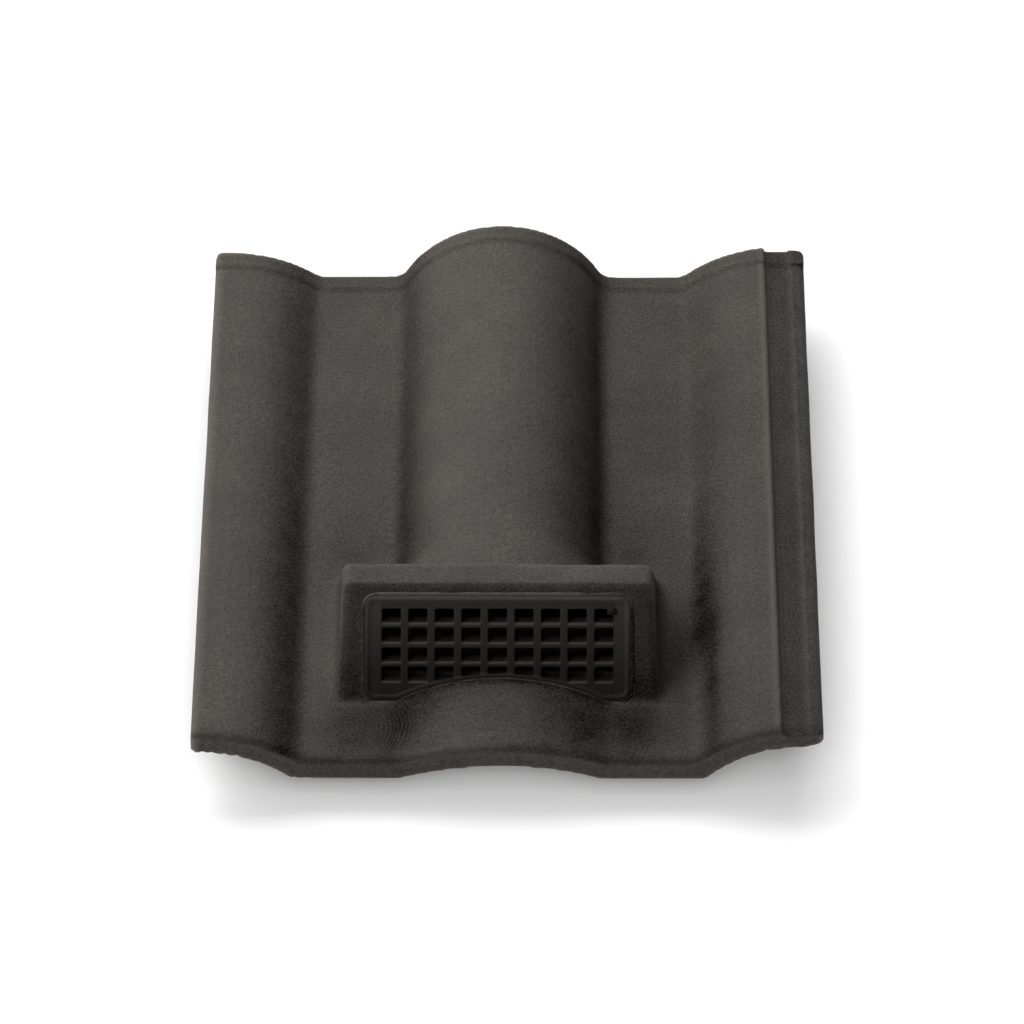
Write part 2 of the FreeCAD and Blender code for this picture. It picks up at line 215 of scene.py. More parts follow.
# the concrete casting, all sizes in mm
tileLook = {
    "cell": 15 / 9,  # the skin's quads, which divide both half sizes evenly
    "underCells": 9000,  # triangles kept on the unseen underside
    "underFacing": -0.2,  # a normal that points lower than this is underside
    "tailKept": 14.0,  # so near the tail the underside stays fine
    "half": (165.0, 210.0),
    "panTop": 27.5,
    "hoodFront": -162.5,
    "hoodBack": -57.5,
    "hoodMiddle": -5.0,
    "hoodRidge": -118.0,  # front edge of the hood's top
    "archMiddle": -3.8,  # the low roll in front, over which the grille's foot is arched
    "archHalf": 54.0,
    "archRise": 11.6,
    "archFoot": 1.0,  # up the leaning face
    "headLine": 196.4,  # foot of the raised bar along the head
    "lapLine": 145.0,  # foot of the step beside the side lap
    "ribLines": (155.2, 157.8),
    "wave": (0.25, 38.0, 3.1),  # hand-finished faces are uneven: height, size, seed
    "hoodWave": (0.45, 13.0, 6.6),  # the same on the hood's top, which is smoothed by hand
    "hoodSoften": 6,  # rounds of smoothing over the hood's front edge
    "tailSoften": 3,  # the same along the tail's lower edge
    "cornerRound": 5.5,  # rounding of the four corners in plan
    "edgeBins": 109,  # places along the tail where its lower edge is found
    "edgeEnds": 3.0,  # left out at both ends
    "edgeLayer": 1.0,  # points so near the tail's end are on it
    "chipDepth": 1.5,  # broken lower edge of the half rolls at the tail
    "chipWay": (0.0, 0.75, 0.7),
    "chipSmall": (3.4, 7.7),  # size, seed
    "chipLarge": (11.0, 1.9),
    "chipLargeShare": 0.6,
    "wearRounds": 3,
    "wearFull": 0.6,  # bulge that counts as full edge wear and painted highlight
    "hoodWearLoss": 0.65,  # the hood's edges get less edge wear and painted highlight
    # where each zone fades, from and to: the facings are shares of the normal, the rest mm
    "zones": {
        "upFacing": (0.1, 0.4),
        "faceFacing": (0.35, 0.6),
        "tailFacing": (0.6, 0.95),
        "downFacing": (0.0, 0.15),
        "panHeight": (9.0, 18.0),  # heights over the pans
        "faceHeight": (-1.0, 3.0),
        "archHeight": (11.0, 14.0),
        "hoodHeight": (37.0, 41.0),
        "hoodSideHeight": (4.0, 10.0),
        "faceDarker": (30.0, 62.0),
        "faceFront": (-6.0, 0.0),  # from the hood's front
        "hoodSideFront": (-4.0, 0.0),
        "behindHood": (-16.0, 4.0),  # from the hood's back
        "hoodSideBack": (-60.0, -50.0),
        "hoodTopBack": (-80.0, -60.0),
        "hoodRidge": (4.0, 9.0),
        "hoodAcross": (85.0, 95.0),
        "archAcross": (50.0, 62.0),
        "archBefore": (-1.5, 0.0),
        "archRight": (-20.0, 50.0),
        "headBar": (0.0, 1.5),
        "lapStep": (-1.0, 1.0),
        "panTail": (-175.0, -130.0),
        "sparedLeft": (-62.0, -50.0),
        "sparedRight": (-12.0, 5.0),
        "tailEnd": (1.0, 4.0),  # from the tail's end
        "underPlain": (13.0, 15.0),
        "edgeSoft": (1.0, 3.0),  # from the tail's lower edge
        "edgeChips": (0.5, 5.0),
        "leftChips": (-116.0, -100.0),
        "rightChips": (108.0, 124.0),
        "paleLeft": ((-94.0, -86.0), (-58.0, -50.0)),  # in, out
        "paleRight": ((44.0, 52.0), (80.0, 88.0)),
    },
    # how much painted shade and dirt lies in each place
    "shadeAndDirt": {
        "face": 0.42,
        "faceFoot": 0.20,
        "archContact": 0.85,
        "archShade": 0.28,
        "hoodTop": 0.04,
        "headFoot": 0.24,
        "headBar": 0.10,
        "lapFoot": 0.25,
        "lap": 0.45,
        "pan": 0.14,
        "panTail": 0.08,
        "tailRound": 0.36,
        "tailRoundSpared": 0.75,  # share of the tail's painted shade that is left out at the apron's left
        "tailFront": 0.2,
    },
    "archContactReach": 3.0,
    "archShadeReach": 11.0,
    "archSides": (0.85, 0.25),  # share at the left, more at the right
    "headFootReach": (1.5, 1.1),
    "lapFootReach": (1.0, 1.4),
    "tailRound": (2.5, 3.0, 3.2),  # middle from the tail's end, reach on each side
    "shadeDirtFine": (0.18, 9.0, 5.3),  # unevenness of the painted shade and dirt: share, size, seed
    "shadeDirtCoarse": (0.05, 46.0, 8.8),
    "valleyShadeGrows": (190.0, 260.0),  # valleys get more painted shade from this line on, over this length
    # painted shade along the feet of the rolls: x, reach to the left, to the right, strength at the head, at the
    # tail
    "valleys": {
        "leftHalfRoll": (-114.5, 15.0, 5.0, 0.36, 0.72),
        "rightHalfRoll": (106.0, 6.0, 10.0, 0.10, 0.34),
    },
    "rollFeet": {
        "left": (-57.0, 5.0, 12.0, 0.30, 0.66),
        "right": (47.0, 25.0, 6.0, 0.46, 0.68),
    },
    # single marks of painted shade and shadow around the hood, before it and down the right valley, and over the
    # right pan: middle x, middle y, reach x, reach y, strength
    "shadeMarks": {
        "valleyShadeHead": (104.0, -35.0, 4.5, 40.0, 0.35),
        "valleyShadeUpper": (104.0, -80.0, 7.0, 34.0, 0.80),
        "valleyShadeLower": (104.0, -112.0, 7.5, 22.0, 0.90),
        "valleyShadeTail": (107.7, -150.0, 3.6, 60.0, 0.62),
        "rightPan": (76.0, 60.0, 26.0, 130.0, 0.16),
        "behindHoodLeft": (-80.0, -30.0, 28.0, 38.0, 0.22),
        "behindHoodRight": (64.0, -30.0, 24.0, 38.0, 0.32),
        "hoodCornerLeft": (-84.0, -40.0, 8.0, 6.0, 0.25),
        "hoodCornerRight": (66.0, -40.0, 10.0, 6.0, 0.25),
        "shadeBesideHood": (91.0, -118.0, 6.5, 36.0, 0.40),
        "frontLeft": (-56.0, -180.0, 13.0, 24.0, 0.52),
        "frontLeftPan": (-80.0, -182.0, 20.0, 24.0, 0.58),
        "apron": (-5.0, -180.0, 40.0, 40.0, 0.08),
        "apronLeft": (-44.0, -168.0, 14.0, 16.0, 0.46),
        "apronRight": (30.0, -160.0, 16.0, 20.0, 0.35),
        "apronRightTail": (24.0, -186.0, 14.0, 28.0, 0.40),
        "frontRight": (41.0, -184.0, 12.0, 32.0, 0.74),
        "frontRightPan": (64.0, -182.0, 19.0, 28.0, 0.74),
    },
    # the half roll beside the lap made darker in the same way
    "halfRollDarker": {
        "wholeRoll": (128.0, 20.0, 24.0, 260.0, 0.15),
        "rollTail": (128.0, -190.0, 22.0, 34.0, 0.13),
    },
    "paleMarks": {
        "tailStreak": (-17.0, -201.0, 13.0, 3.5, 0.5),
        "besideValleyShade": (100.5, -172.0, 3.5, 32.0, 0.3),
    },
    "paleStreaks": (0.5, 0.4, 3.0, 2.2),  # mean, stretch along x, size, seed
    "paleRibs": (0.35, 0.7),  # painted highlight along the ribs: strength, reach
    "paleHoodFoot": (0.4, 2.0, 1.6),  # strength, distance before the hood, reach
    "trowel": (-57.0, -187.0, 9.0, 17.0, 1.0),
}
zones, shadeAndDirt = tileLook["zones"], tileLook["shadeAndDirt"]
halfX, halfY = tileLook["half"]
panTop, hoodFront = tileLook["panTop"], tileLook["hoodFront"]

tile = skinOver(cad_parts["tile_body"], "tileCasting", tileLook["cell"])
points, normals = readPoints(tile.data)
under = (normals[:, 2] < tileLook["underFacing"]) & (points[:, 1] > tileLook["tailKept"] - halfY)
group = tile.vertex_groups.new(name="under")
group.add(np.flatnonzero(under).tolist(), 1.0, "REPLACE")
tileTris = countTriangles(tile.data.polygons)
underTris = countTriangles(p for p in tile.data.polygons if all(under[i] for i in p.vertices))
thin = tile.modifiers.new("thin", "DECIMATE")
thin.vertex_group = "under"
thin.ratio = (tileTris - underTris + tileLook["underCells"]) / tileTris
tileMesh = bakeMesh(tile)
tile.modifiers.remove(thin)
tile.data = tileMesh
tile.vertex_groups.clear()
tileMesh.name = "tileCasting"
print("tile skin:", tileTris, "triangles, thinned to", countTriangles(tileMesh.polygons))

# zones of the casting as it was moulded
points, normals = readPoints(tileMesh)
x, y, z = points.T
overPan, fromFront, fromTail = z - panTop, y - hoodFront, y + halfY
beforeFace = overPan - fromFront
upward, frontward = normals[:, 2], -normals[:, 1]
onTop = ramp(upward, *zones["upFacing"])
onPan = onTop * fall(overPan, *zones["panHeight"])
onFace = ramp(frontward, *zones["faceFacing"]) * ramp(fromFront, *zones["faceFront"])
onFace = onFace * ramp(overPan, *zones["faceHeight"])
onHood = ramp(overPan, *zones["hoodHeight"]) * fall(y, *zones["hoodTopBack"])
hoodEdge = onHood * within(y, tileLook["hoodRidge"], *zones["hoodRidge"])
hoodSides = ramp(overPan, *zones["hoodSideHeight"]) * ramp(fromFront, *zones["hoodSideFront"])
hoodSides = hoodSides * fall(y, *zones["hoodSideBack"]) * within(x, tileLook["hoodMiddle"], *zones["hoodAcross"])
behindHood = ramp(y - tileLook["hoodBack"], *zones["behindHood"])
underArch = onTop * ramp(beforeFace, *zones["archBefore"]) * fall(overPan, *zones["archHeight"])
underArch = underArch * within(x, tileLook["archMiddle"], *zones["archAcross"])
tailShadeSpared = ramp(x, *zones["sparedLeft"]) * fall(x, *zones["sparedRight"])
below = ramp(-upward, *zones["downFacing"]) * ramp(fromTail, *zones["underPlain"])

# painted shade and dirt, laid on one layer after another
growFrom, growOver = tileLook["valleyShadeGrows"]
towardsTail = np.clip((growFrom - y) / growOver, 0, 1)
shadeAndStain = np.zeros(len(x))
# painted shade in the valleys and along the feet of the rolls, growing towards the tail
for where, feet in ((1, "valleys"), (behindHood, "rollFeet")):
    for middle, left, right, atHead, atTail in tileLook[feet].values():
        strength = atHead + (atTail - atHead) * towardsTail
        shadeAndStain = layUpon(shadeAndStain, where * onTop * band(x, middle, left, right) * strength)
# painted shade marks on the pans; the half roll beside the lap darker
for where, marks in ((onPan, "shadeMarks"), (onTop, "halfRollDarker")):
    for mark in tileLook[marks].values():
        shadeAndStain = layUpon(shadeAndStain, where * spot(x, y, mark))
# painted contact shadow and shade on the low roll where it meets the grille's foot
contactReach, shadeReach = tileLook["archContactReach"], tileLook["archShadeReach"]
archShadow = shadeAndDirt["archContact"] * band(beforeFace, 0, contactReach, contactReach)
archShadow = archShadow + shadeAndDirt["archShade"] * band(beforeFace, 0, shadeReach, shadeReach)
atLeft, moreRight = tileLook["archSides"]
headLine, lapLine = tileLook["headLine"], tileLook["lapLine"]
# painted shade on the hood's face, darker to its foot; the hood's top darker; painted shadow at the feet of the head
# bar and the lap step, and the bar and the lap darker; painted shade in the pans, more towards the front, on the
# tail's rounded edge and on its front face
layers = (
    onFace * (shadeAndDirt["face"] + shadeAndDirt["faceFoot"] * fall(z, *zones["faceDarker"])),
    underArch * archShadow * (atLeft + moreRight * ramp(x, *zones["archRight"])),
    shadeAndDirt["hoodTop"] * onTop * onHood,
    shadeAndDirt["headFoot"] * onTop * band(y, headLine, *tileLook["headFootReach"]),
    shadeAndDirt["headBar"] * onTop * ramp(y - headLine, *zones["headBar"]),
    shadeAndDirt["lapFoot"] * onTop * band(x, lapLine, *tileLook["lapFootReach"]),
    shadeAndDirt["lap"] * onTop * ramp(x - lapLine, *zones["lapStep"]),
    onPan * (shadeAndDirt["pan"] + shadeAndDirt["panTail"] * fall(y, *zones["panTail"])),
    shadeAndDirt["tailRound"] * (1 - shadeAndDirt["tailRoundSpared"] * tailShadeSpared) * onTop * band(fromTail, *tileLook["tailRound"]),
    shadeAndDirt["tailFront"] * ramp(frontward, *zones["tailFacing"]) * fall(fromTail, *zones["tailEnd"]),
)
for layer in layers:
    shadeAndStain = layUpon(shadeAndStain, layer)
fineShare, fineSize, fineSeed = tileLook["shadeDirtFine"]
coarseShare, coarseSize, coarseSeed = tileLook["shadeDirtCoarse"]
shadeAndStain = shadeAndStain * (1 + fineShare * softNoise(points, fineSize, fineSeed))
shadeAndStain = shadeAndStain + coarseShare * softNoise(points, coarseSize, coarseSeed)
# outer edges lighter: edge wear and painted highlight
wearAndHighlight = bulge(tileMesh, points, normals, tileLook["wearRounds"]) * (1 - tileLook["hoodWearLoss"] * hoodSides)
wearAndHighlight, shadeAndStain = wearAndHighlight * (1 - below), shadeAndStain * (1 - below)  # the underside is left plain

# pale streaks, painted highlights along the ribs and a pale line at the foot of the hood on both sides of the arch
paleMean, paleStretch, paleSize, paleSeed = tileLook["paleStreaks"]
streaks = paleMean + softNoise(points * [paleStretch, 1, 1], paleSize, paleSeed)
pale = onTop * sum(spot(x, y, mark) for mark in tileLook["paleMarks"].values()) * streaks
ribPale, ribReach = tileLook["paleRibs"]
for line in tileLook["ribLines"]:
    pale = np.maximum(pale, ribPale * onTop * band(x, line, ribReach, ribReach))
besideArch = sum(ramp(x, *zones[side][0]) * fall(x, *zones[side][1]) for side in ("paleLeft", "paleRight"))
footPale, footAhead, footReach = tileLook["paleHoodFoot"]
pale = np.maximum(pale, footPale * besideArch * band(fromFront, -footAhead, footReach, footReach))

# uneven faces, the rubbed front edge of the hood and round corners in plan
waveHeight, waveSize, waveSeed = tileLook["wave"]
points = points + normals * (waveHeight * softNoise(points, waveSize, waveSeed))[:, None]
points = soften(tileMesh, points, hoodEdge, tileLook["hoodSoften"])
waveHeight, waveSize, waveSeed = tileLook["hoodWave"]
points = points + normals * (onHood * waveHeight * softNoise(points, waveSize, waveSeed))[:, None]
cornerRound = tileLook["cornerRound"]
cornerMiddle = np.array([halfX, halfY]) - cornerRound
fromCorner = np.abs(points[:, :2]) - cornerMiddle
cornerReach = np.hypot(*np.maximum(fromCorner, 0).T)
cut = (fromCorner > 0).all(axis=1) & (cornerReach > cornerRound)
shrink = np.where(cut, cornerRound / np.maximum(cornerReach, 1e-6), 1)[:, None]
rounded = np.sign(points[:, :2]) * (cornerMiddle + fromCorner * shrink)
points[:, :2] = np.where(cut[:, None], rounded, points[:, :2])

# lower edge of the tail, softened and then chipped on the half rolls
onTail = fromTail < tileLook["edgeLayer"]
edgeSpan = halfX - tileLook["edgeEnds"]
bins = np.linspace(-edgeSpan, edgeSpan, tileLook["edgeBins"])
lowest = np.array([z[onTail & (np.abs(x - b) < 1.5 * tileLook["cell"])].min() for b in bins])
edgeGap = np.hypot(fromTail, z - np.interp(x, bins, lowest))
points = soften(tileMesh, points, fall(edgeGap, *zones["edgeSoft"]), tileLook["tailSoften"])
teeth = softNoise(points * [1, 0.25, 0.25], *tileLook["chipSmall"])
teeth = teeth + tileLook["chipLargeShare"] * softNoise(points * [1, 0, 0], *tileLook["chipLarge"])
onRolls = fall(x, *zones["leftChips"]) + ramp(x, *zones["rightChips"])
chip = np.clip(teeth, 0, 1) * onRolls * fall(edgeGap, *zones["edgeChips"])
points = points + np.outer(chip * tileLook["chipDepth"], tileLook["chipWay"])
writePoints(tileMesh, points)
paint(tileMesh, "edgeWearAndHighlight", wearAndHighlight / tileLook["wearFull"])
paint(tileMesh, "shadeAndStain", shadeAndStain)
paint(tileMesh, "pale", pale)
paint(tileMesh, "trowel", onPan * spot(x, y, tileLook["trowel"]))
smoothShade(tileMesh)
print("tile shaped:", len(tileMesh.vertices), "points")

# Through-coloured concrete, pressed and cured: dull, slightly sandy, warm dark grey
concreteLook = {
    "pale": "57524d",
    "middle": "4c4743",
    "dark": "2b2723",
    "worn": "69635d",
    "shadeAndDirt": "18120e",
    "blotch": 42.0,  # mm
    "blotchEnds": (0.3, 0.7),
    "sand": 1.3,  # mm grains
    "lump": 3.9,  # mm, clusters of grains
    "speck": (0.38, 0.62, 0.0, 0.6),  # grain noise from and to, darkness from and to
    "grit": (0.35, 0.65, 0.8, 1.2),  # the same for how the grains break up the painted shade and dirt
    "wearShare": 0.9,
    "trowelLines": 2.2,  # mm apart
    "trowelMiddle": (-88.0, -184.0, 27.5),  # mm, the middle of the sweep
    "trowelDirt": 0.3,
    "relief": (0.8, 0.6),  # bump strength and depth in mm
    "roughness": (0.7, 0.9),
    "sheen": (0.3, 0.02),  # clean, and where the painted shade and dirt lie, dead matt
}
ringScale = 0.314  # rings per unit of scale of the wave texture
concrete, tree, shader, place = newMaterial("concretePressed")
blotch = addNoise(tree, place, concreteLook["blotch"], 4.0)
sand = addNoise(tree, place, concreteLook["sand"], 3.0, 0.65)
lump = addNoise(tree, place, concreteLook["lump"], 2.0)
tone = addNode(tree, "ShaderNodeValToRGB", None, None, {"Fac": blotch})
for stop, end, shade in zip(tone.color_ramp.elements, concreteLook["blotchEnds"], ("middle", "pale")):
    stop.position = end
    stop.color = hexToLinear(concreteLook[shade])
speck = addRange(tree, sand, *concreteLook["speck"])
sanded = mixOver(tree, speck, tone.outputs["Color"], concreteLook["dark"])
wearShare = {1: concreteLook["wearShare"]}
# lighter on outer edges, with edge wear and painted highlight, and under the pale marks
edge = addNode(tree, "ShaderNodeMath", {"operation": "MULTIPLY"}, wearShare, {0: readPaint(tree, "edgeWearAndHighlight")})
worn = mixOver(tree, edge.outputs[0], sanded, concreteLook["worn"])
streaked = mixOver(tree, readPaint(tree, "pale"), worn, concreteLook["worn"])
sweepMiddle = {1: [c * mm for c in concreteLook["trowelMiddle"]]}
sweep = addNode(tree, "ShaderNodeVectorMath", {"operation": "SUBTRACT"}, sweepMiddle, {0: place})
ringKind = {"wave_type": "RINGS", "rings_direction": "SPHERICAL"}
ringLook = {"Scale": ringScale / (concreteLook["trowelLines"] * mm)}
ringLook.update({"Distortion": 6.0, "Detail": 1.0, "Detail Scale": 0.6})
rings = addNode(tree, "ShaderNodeTexWave", ringKind, ringLook, {"Vector": sweep.outputs[0]})
# the painted shade and dirt, with the trowel's swirl, darken the colour
swirled = addMath(tree, "MULTIPLY", rings.outputs["Fac"], readPaint(tree, "trowel"))
gritty = addMath(tree, "MULTIPLY", readPaint(tree, "shadeAndStain"), addRange(tree, sand, *concreteLook["grit"]))
shadeDirtKind = {"operation": "MULTIPLY_ADD", "use_clamp": True}
shadeDirtNode = addNode(tree, "ShaderNodeMath", shadeDirtKind, {1: concreteLook["trowelDirt"]}, {0: swirled, 2: gritty})
shadeDirtShare = shadeDirtNode.outputs[0]
tree.links.new(mixOver(tree, shadeDirtShare, streaked, concreteLook["shadeAndDirt"]), shader.inputs["Base Color"])
height = addMath(tree, "ADD", addMath(tree, "ADD", sand, lump), swirled)
addBump(tree, shader, height, *concreteLook["relief"])
tree.links.new(addRange(tree, sand, 0, 1, *concreteLook["roughness"]), shader.inputs["Roughness"])
tree.links.new(addRange(tree, shadeDirtShare, 0, 1, *concreteLook["sheen"]), shader.inputs["Specular IOR Level"])
shader.inputs["IOR"].default_value = 1.5
tileMesh.materials.append(concrete)
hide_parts("tile_body")
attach(tile, "root")
print("concrete done")

# the moulded grille, all sizes in mm
grilleLook = {
    "cell": 0.7,
    "middleX": -5.1,
    "sills": (34.7, 42.0, 49.3, 56.6),  # heights of the rows of holes
    "columnPitch": 14.0,
    "holeWidth": 10.0,
    "holeSoft": 0.5,
    "lipWidth": 0.5,
    "archReach": 0.8,
    "rim": (55.0, 1.9, 1.8),  # middle of the top rim up the face, reach on each side
    "shadeTop": 62.5,  # from here down the bars get darker
    "shadeDrop": 24.5,
    "wearRounds": 2,
    "wearFull": 0.3,
    # where each zone fades, from and to, as for the tile
    "zones": {
        "dustFacing": (0.75, 0.98),
        "sideFacing": (0.3, 0.7),
        "dustHeight": (62.0, 65.0),
        "field": (61.0, 62.5),  # half width of the field of holes
        "sillBehind": (-1.6, -0.6),  # distances out of the face
        "sillFront": (-0.2, 0.6),
        "archFront": (-1.5, 0.0),
        "rimFront": (-1.2, 0.0),
        "deep": (-1.6, -0.4),
        "archAcross": (50.0, 56.0),
        "archRight": (0.0, 40.0),
        "rimAcross": (62.0, 68.0),
        "leftSide": (-62.0, -60.0),
    },
    # painted highlights: how pale the lips are; painted shade: how dark the holes are, with the bars darker towards
    # the bottom and in the field
    "lips": {"sill": 0.28, "arch": 0.5, "archRightLoss": 0.5, "rim": 0.42, "side": 0.55},
    "depths": {"fade": 0.76, "archLoss": 0.7, "sillLoss": 0.5, "field": 0.42},
}
grilleZones, lips, depths = grilleLook["zones"], grilleLook["lips"], grilleLook["depths"]
archCircle = (tileLook["archHalf"] ** 2 + tileLook["archRise"] ** 2) / (2 * tileLook["archRise"])
archCentre = tileLook["archFoot"] + tileLook["archRise"] - archCircle  # up the face, far under its foot
grille = skinOver(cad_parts["vent_grille"], "ventGrille", grilleLook["cell"])
points, normals = readPoints(grille.data)
x, y, z = points.T
overFace = (z - panTop - (y - hoodFront)) / math.sqrt(2)  # distance out of the leaning face
upFromFoot = (z - panTop + y - hoodFront) / math.sqrt(2)  # distance up the leaning face
middleX, pitch, lipWidth = (grilleLook[k] for k in ("middleX", "columnPitch", "lipWidth"))
acrossHole = np.abs((x - middleX + pitch / 2) % pitch - pitch / 2)
holeHalf, holeSoft = grilleLook["holeWidth"] / 2, grilleLook["holeSoft"]
inField = within(x, middleX, *grilleZones["field"])
sill = inField * sum(band(z, height, lipWidth, lipWidth) for height in grilleLook["sills"])
sill = sill * fall(acrossHole, holeHalf - holeSoft, holeHalf + holeSoft)
sill = sill * ramp(overFace, *grilleZones["sillBehind"]) * fall(overFace, *grilleZones["sillFront"])
overArch = np.hypot(x - tileLook["archMiddle"], upFromFoot - archCentre) - archCircle
archLip = band(overArch, 0.0, grilleLook["archReach"], grilleLook["archReach"])
archLip = archLip * ramp(overFace, *grilleZones["archFront"])
archLip = archLip * within(x, tileLook["archMiddle"], *grilleZones["archAcross"])
archPale = archLip * (1 - lips["archRightLoss"] * ramp(x, *grilleZones["archRight"]))
topRim = band(upFromFoot, *grilleLook["rim"]) * ramp(overFace, *grilleZones["rimFront"])
topRim = topRim * within(x, middleX, *grilleZones["rimAcross"])
leftSide = ramp(normals[:, 0], *grilleZones["sideFacing"]) * fall(x, *grilleZones["leftSide"])
downFace = np.clip((grilleLook["shadeTop"] - z) / grilleLook["shadeDrop"], 0, 1)
fade = depths["fade"] * downFace * (1 - depths["archLoss"] * archLip) * (1 - depths["sillLoss"] * sill)
bars = depths["field"] * inField * (1 - topRim) * (1 - sill)
wearAndHighlight = bulge(grille.data, points, normals, grilleLook["wearRounds"])
dust = ramp(normals[:, 2], *grilleZones["dustFacing"]) * ramp(z, *grilleZones["dustHeight"])
# painted highlights along the sills, the arch, the top rim and the left side steps
pale = lips["sill"] * sill + lips["arch"] * archPale + lips["rim"] * topRim + lips["side"] * leftSide
paint(grille.data, "edgeWearAndHighlight", wearAndHighlight / grilleLook["wearFull"])
paint(grille.data, "dust", dust)
paint(grille.data, "lip", pale)
# painted shade in the holes; the bars darker towards the bottom and in the field
paint(grille.data, "deep", 1 - (1 - fall(overFace, *grilleZones["deep"])) * (1 - fade) * (1 - bars))
smoothShade(grille.data)

# Polypropylene, injection moulded, dark grey: soft low sheen, pale dust where it faces up; painted highlights on the
# lips and painted shade in the holes
plasticLook = {
    "base": "3b3932",
    "dust": "47443f",
    "rub": "43413d",
    "lip": "645f57",
    "deep": "14120f",
    "grain": 0.9,  # mm
    "relief": (0.25, 0.2),  # bump strength and depth in mm
    "roughness": 0.72,
    "sheen": 0.2,
}
plastic, tree, shader, place = newMaterial("polypropyleneMoulded")
grain = addNoise(tree, place, plasticLook["grain"], 2.0)
dusty = addMath(tree, "MULTIPLY", readPaint(tree, "dust"), grain)
base = addNode(tree, "ShaderNodeRGB").outputs[0]
base.default_value = hexToLinear(plasticLook["base"])
dusted = mixOver(tree, dusty, base, plasticLook["dust"])
rubbed = mixOver(tree, readPaint(tree, "edgeWearAndHighlight"), dusted, plasticLook["rub"])
lipped = mixOver(tree, readPaint(tree, "lip"), rubbed, plasticLook["lip"])
deepened = mixOver(tree, readPaint(tree, "deep"), lipped, plasticLook["deep"])
tree.links.new(deepened, shader.inputs["Base Color"])
addBump(tree, shader, grain, *plasticLook["relief"])
shader.inputs["Roughness"].default_value = plasticLook["roughness"]
shader.inputs["Specular IOR Level"].default_value = plasticLook["sheen"]
grille.data.materials.append(plastic)
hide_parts("vent_grille")
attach(grille, "root")
print("grille done:", len(grille.data.vertices), "points")

# mortar that beds the grille: a thin uneven bead over the joint, along the grille's outline, in mm
beadLook = {
    "half": 70.0,  # from the grille's middle to its side
    "top": 56.0,  # up the leaning face
    "corner": 6.0,
    "cornerStep": 10,  # degrees
    "archLift": 0.08,
    "plain": {"radius": 1.5, "outside": 0.9, "sunk": 1.0},  # its middle lies outside the outline and under the face
    "arch": {"radius": 0.85, "outside": 0.0, "sunk": 0.5},  # thinner along the arch
    "uneven": (0.25, 6.0, 4.4),  # share, size, seed
    "step": 1.2,
    "sides": 8,
    # where each zone fades, from and to
    "zones": {
        "thinAcross": (52.0, 58.0),
        "thinUp": (18.0, 22.0),  # up the face
        "archAcross": (50.0, 56.0),
        "archHeight": (40.0, 46.0),
        "right": (20.0, 64.0),
        "lessShadedTop": (61.0, 67.0),
        "paleTop": (62.0, 67.0),
    },
    # painted shade over the bead, as on the hood's face, more at the right, less on the arch and the top
    "shadeAndDirt": {"all": 0.5, "right": 0.35, "lessShaded": 0.5, "rightLoss": 0.5},
    # painted highlight along the arch and on the top, less at the right
    "pale": {"arch": 0.75, "top": 0.25, "rightLoss": 0.6},
}
beadZones, beadShade, beadPale = (beadLook[k] for k in ("zones", "shadeAndDirt", "pale"))
side, top, corner, sides = (beadLook[k] for k in ("half", "top", "corner", "sides"))
foot, archHalf = tileLook["archFoot"], tileLook["archHalf"]
archShift = tileLook["archMiddle"] - middleX
path = []  # across and up the face
for u in np.arange(-archHalf, archHalf, beadLook["step"]):
    path.append((u + archShift, beadLook["archLift"] + archCentre + math.sqrt(archCircle ** 2 - u * u)))
corners = ((1, foot + corner, -90), (1, top - corner, 0), (-1, top - corner, 90), (-1, foot + corner, 180))
for sign, cornerV, start in corners:
    for angle in np.radians(np.arange(start, start + 91, beadLook["cornerStep"])):
        path.append((sign * (side - corner) + corner * math.cos(angle), cornerV + corner * math.sin(angle)))
path = np.array(path + path[:1])
along = np.concatenate([[0], np.cumsum(np.hypot(*np.diff(path, axis=0).T))])
stations = np.linspace(0, along[-1], int(along[-1] / beadLook["step"]), endpoint=False)
ring = np.stack([np.interp(stations, along, path[:, i]) for i in (0, 1)], axis=1)
ahead = np.roll(ring, -1, axis=0) - np.roll(ring, 1, axis=0)
outward = np.stack([ahead[:, 1], -ahead[:, 0]], axis=1) / np.hypot(*ahead.T)[:, None]
thinShare = within(ring[:, 0], archShift, *beadZones["thinAcross"]) * fall(ring[:, 1], *beadZones["thinUp"])
slope = math.sqrt(0.5)  # the face leans at 45 degrees
upFace, offFace = np.array([0, slope, slope]), np.array([0, -slope, slope])
faceFoot = np.array([middleX, hoodFront, panTop])
acrossFace = np.array([1, 0, 0])
unevenShare, unevenSize, unevenSeed = beadLook["uneven"]
beadPoints = []
for (u, v), (outU, outV), share in zip(ring, outward, thinShare):
    plain, thinner = beadLook["plain"], beadLook["arch"]
    swell, outside, sunk = (plain[k] + share * (thinner[k] - plain[k]) for k in ("radius", "outside", "sunk"))
    swell *= 1 + unevenShare * noise.noise(Vector((u / unevenSize, v / unevenSize, unevenSeed)))
    for turn in np.linspace(0, 2 * math.pi, sides, endpoint=False):
        away = outside + swell * math.cos(turn)
        middle = faceFoot + acrossFace * (u + outU * away) + upFace * (v + outV * away)
        beadPoints.append((middle + offFace * (swell * math.sin(turn) - sunk)) * mm)
beadFaces = []
for i in range(len(ring)):
    here, following = i * sides, (i + 1) % len(ring) * sides
    for j in range(sides):
        beside = (j + 1) % sides
        beadFaces.append([here + j, here + beside, following + beside, following + j])
beadMesh = bpy.data.meshes.new("beddingMortar")
beadMesh.from_pydata(beadPoints, [], beadFaces)
smoothShade(beadMesh)
bead = linkNew("beddingMortar", beadMesh)
x, y, z = readPoints(beadMesh)[0].T
onArch = within(x, tileLook["archMiddle"], *beadZones["archAcross"]) * fall(z, *beadZones["archHeight"])
atRight = ramp(x, *beadZones["right"])
